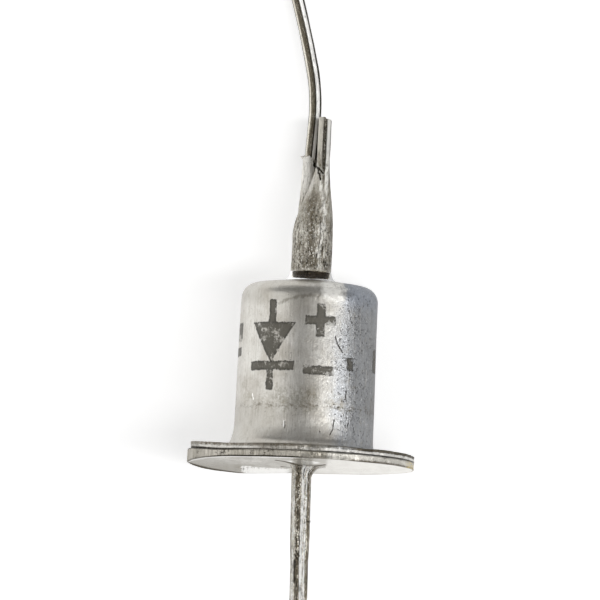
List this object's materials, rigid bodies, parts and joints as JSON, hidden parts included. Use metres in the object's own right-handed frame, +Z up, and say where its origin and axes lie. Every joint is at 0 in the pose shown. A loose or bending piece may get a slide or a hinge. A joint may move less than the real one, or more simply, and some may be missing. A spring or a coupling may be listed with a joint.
{
  "type": "axial rectifier diode",
  "caption": "Metal-cased rectifier diode with a round flange, a glass seal round a crimped tube, and a rigid wire lead at each end.",
  "frame": {"origin": "centre of the bounding box's base, on the table the diode lies on", "axes": "+Z up; +Y along the diode's length, from the flange towards the crimped tube and the upper lead; +X to the viewer's right in the picture"},
  "size_m": [0.0116, 0.054, 0.0112],
  "materials": {
    "base": "satin tinned steel, aged",
    "can": "satin tinned steel, aged, with fine draw lines",
    "glass": "dark sealing glass, glossy",
    "tube": "dull pitted nickel-iron",
    "upper_lead": "tinned wire, aged",
    "lower_lead": "bright tinned wire",
    "solder": "satin solder",
    "silicon": "polished silicon",
    "aluminium": "matt alloyed aluminium",
    "inner_lead": "silvered wire"
  },
  "bodies": {
    "root": {"base_disc": "base", "can": "can", "glass_bead": "glass", "crimped_tube": "tube", "upper_lead": "upper_lead", "lower_lead": "lower_lead", "lower_lead_solder": "solder", "die_solder": "solder", "electrode_solder": "solder", "silicon_die": "silicon", "aluminium_electrode": "aluminium", "inner_lead": "inner_lead"}
  },
  "joints": []
}
